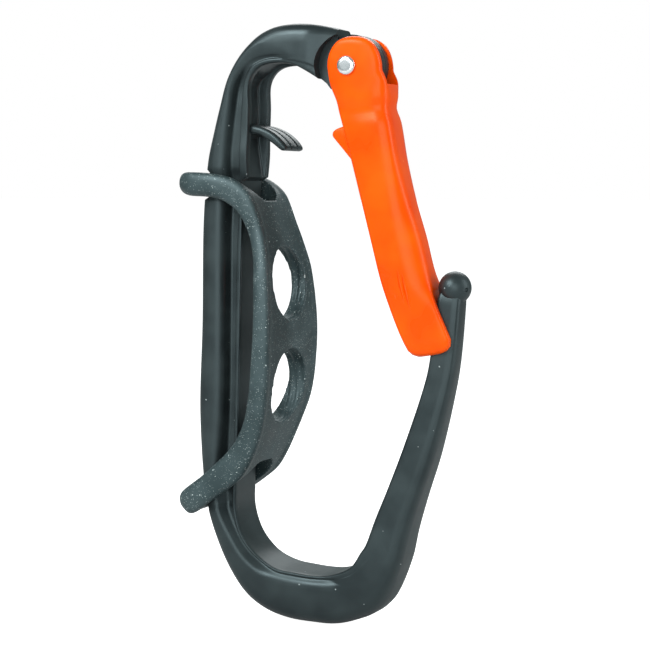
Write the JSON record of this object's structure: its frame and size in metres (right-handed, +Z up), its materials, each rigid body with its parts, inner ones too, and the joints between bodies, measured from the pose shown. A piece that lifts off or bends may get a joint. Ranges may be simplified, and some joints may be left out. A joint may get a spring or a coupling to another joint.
{
  "type": "harness gear-holder carabiner",
  "caption": "Moulded hook-shaped gear holder with a sprung gate, a knob-ended nose and a rubber strap that clips it to a harness belt.",
  "frame": {"origin": "on the spine's belt seat, at the middle of the belt gap", "axes": "+X from the spine towards the gate, +Y along the belt, +Z up towards the hinge"},
  "size_m": [0.0685, 0.0284, 0.1346],
  "materials": {
    "black_nylon": "satin moulded nylon",
    "orange_nylon": "semi-gloss moulded nylon",
    "rivet_steel": "polished",
    "spring_steel": "drawn wire",
    "keeper_rubber": "matte, dusty"
  },
  "bodies": {
    "hook": {"body": "black_nylon", "pivot_rivet": "rivet_steel", "rubber_keeper": "keeper_rubber"},
    "gate": {"gate": "orange_nylon", "gate_spring": "spring_steel"},
    "plunger": {"spring_plunger": "spring_steel"}
  },
  "joints": [
    {"name": "gate_hinge", "type": "hinge", "parent": "hook", "child": "gate", "pos_m": [0.0264, 0, 0.0576], "axis": [0, 1, 0], "range_deg": [0, 25], "stiffness_Nm_per_rad": 0.05, "springref_deg": -45.84},
    {"name": "plunger_slide", "type": "slide", "parent": "gate", "child": "plunger", "axis": [0.2079, 0, -0.9781], "range_m": [0, 0.0016], "deforming": ["gate_spring"]}
  ],
  "couplings": [
    {"joint": "plunger_slide", "follows": "gate_hinge", "m_per_rad": 0.0031}
  ]
}
